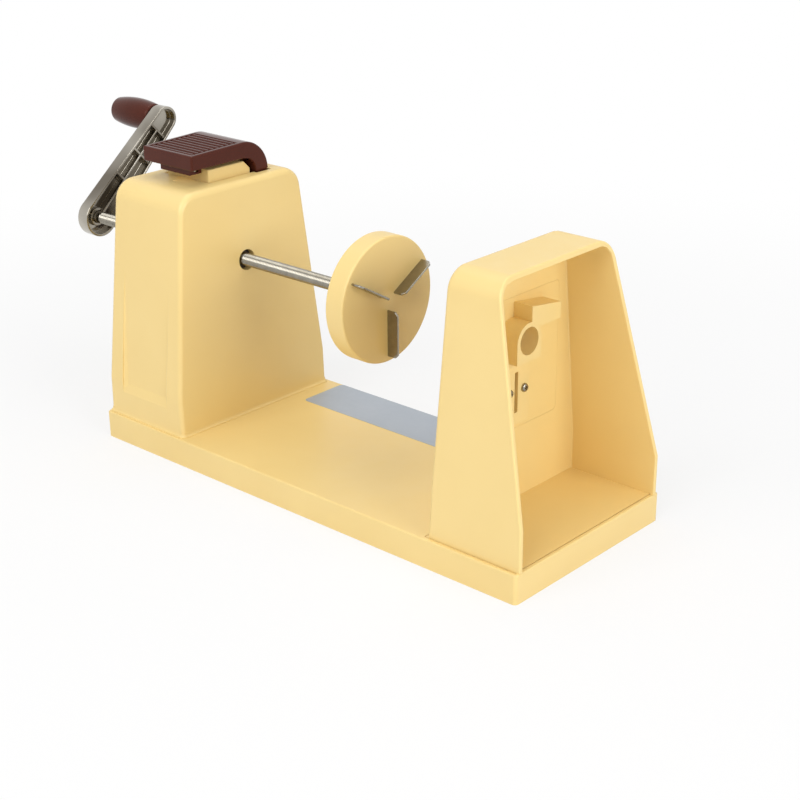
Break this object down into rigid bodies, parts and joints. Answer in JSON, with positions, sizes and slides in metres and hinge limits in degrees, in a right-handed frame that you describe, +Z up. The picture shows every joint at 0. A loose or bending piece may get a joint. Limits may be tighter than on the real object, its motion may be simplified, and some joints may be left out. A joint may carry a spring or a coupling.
{
  "type": "hand-cranked spiral slicer",
  "caption": "Table-top vegetable spiralizer: a crank turns a threaded shaft through a tower and drives a finned holder disc toward a blade and comb in an open hooded tower.",
  "frame": {"origin": "middle of the base's underside, on the table", "axes": "+X along the shaft from the crank to the blades, +Y to the far side in the picture, +Z up"},
  "size_m": [0.4548, 0.1363, 0.185],
  "materials": {
    "cream_plastic": "glossy moulded cream-yellow ABS",
    "brown_plastic": "glossy moulded chocolate-brown plastic",
    "steel": "bright stainless steel",
    "chrome": "bright nickel-plated die casting",
    "brass": "plain machined brass",
    "dark_plastic": "dark low-friction plastic",
    "rubber": "soft black rubber",
    "label": "plain pale blue-grey sheet, no print"
  },
  "bodies": {
    "frame": {"base_tray": "cream_plastic", "foot_pads": "rubber", "label_sheet": "label", "crank_tower": "cream_plastic", "crank_tower_screws": "steel", "front_bush": "dark_plastic", "rear_bush": "dark_plastic", "nut_guide": "cream_plastic", "nut_guide_screws": "steel", "return_spring": "steel", "lever_hinge_pin": "steel", "blade_tower": "cream_plastic", "blade_tower_screws": "steel", "cutter_plate": "cream_plastic", "cutter_screws": "steel", "main_blade": "steel", "main_blade_screws": "steel", "comb_blade": "steel", "comb_clamp": "cream_plastic", "comb_clamp_screws": "steel"},
    "lever": {"release_lever": "brown_plastic"},
    "carrier": {"nut_carrier": "cream_plastic", "link_pin": "steel", "half_nut": "brass", "half_nut_screws": "steel"},
    "washer": {"stop_washer": "dark_plastic"},
    "crank": {"feed_shaft": "steel", "holder_disc": "cream_plastic", "disc_pin": "steel", "disc_fins": "steel", "crank_arm": "chrome", "crank_screw": "chrome", "knob_post": "steel", "knob_screw": "steel"},
    "knob": {"crank_knob": "brown_plastic", "knob_cap": "brown_plastic"}
  },
  "joints": [
    {"name": "crank_turn", "type": "hinge", "parent": "washer", "child": "crank", "pos_m": [0, 0, 0.1155], "axis": [1, 0, 0], "range_deg": [-26640, 19800]},
    {"name": "shaft_feed", "type": "slide", "parent": "frame", "child": "washer", "axis": [1, 0, 0], "range_m": [-0.0926, 0.0689]},
    {"name": "knob_spin", "type": "hinge", "parent": "crank", "child": "knob", "pos_m": [-0.2708, 0.06078, 0.17158], "axis": [1, 0, 0], "continuous": true},
    {"name": "lever_press", "type": "hinge", "parent": "frame", "child": "lever", "pos_m": [-0.13018, 0.026, 0.16], "axis": [1, 0, 0], "range_deg": [0, 5], "stiffness_Nm_per_rad": 1.4, "springref_deg": -6.88},
    {"name": "nut_drop", "type": "slide", "parent": "frame", "child": "carrier", "axis": [0, 0, -1], "range_m": [0, 0.0042], "deforming": ["return_spring"]}
  ],
  "couplings": [
    {"joint": "shaft_feed", "follows": "crank_turn", "m_per_rad": 0.00019894},
    {"joint": "nut_drop", "follows": "lever_press", "m_per_rad": 0.04748}
  ]
}
